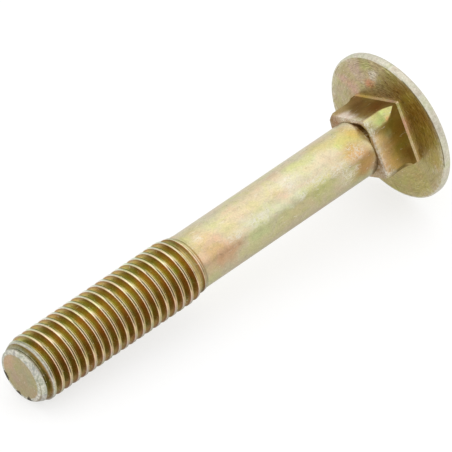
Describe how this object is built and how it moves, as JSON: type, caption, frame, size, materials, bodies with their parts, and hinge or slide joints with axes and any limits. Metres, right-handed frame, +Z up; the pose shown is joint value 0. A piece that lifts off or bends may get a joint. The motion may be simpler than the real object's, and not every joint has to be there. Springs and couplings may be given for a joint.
{
  "type": "truss head screw",
  "caption": "Bolt with a wide low domed head, a square neck with relieved corners, a plain shank and a right-hand thread on the lower part of its length.",
  "frame": {"origin": "centre of the bounding box's lower face, on the surface that the bolt lies on", "axes": "+X from the thread's end to the head, +Y across the bolt, +Z up; the bolt's axis lies in the XZ plane and rises 5.62 degrees towards the head"},
  "size_m": [0.075, 0.0232, 0.0231],
  "materials": {
    "yellow_zinc": "steel with yellow passivated zinc plating, slightly iridescent"
  },
  "bodies": {
    "root": {"carriage_bolt": "yellow_zinc"}
  },
  "joints": []
}
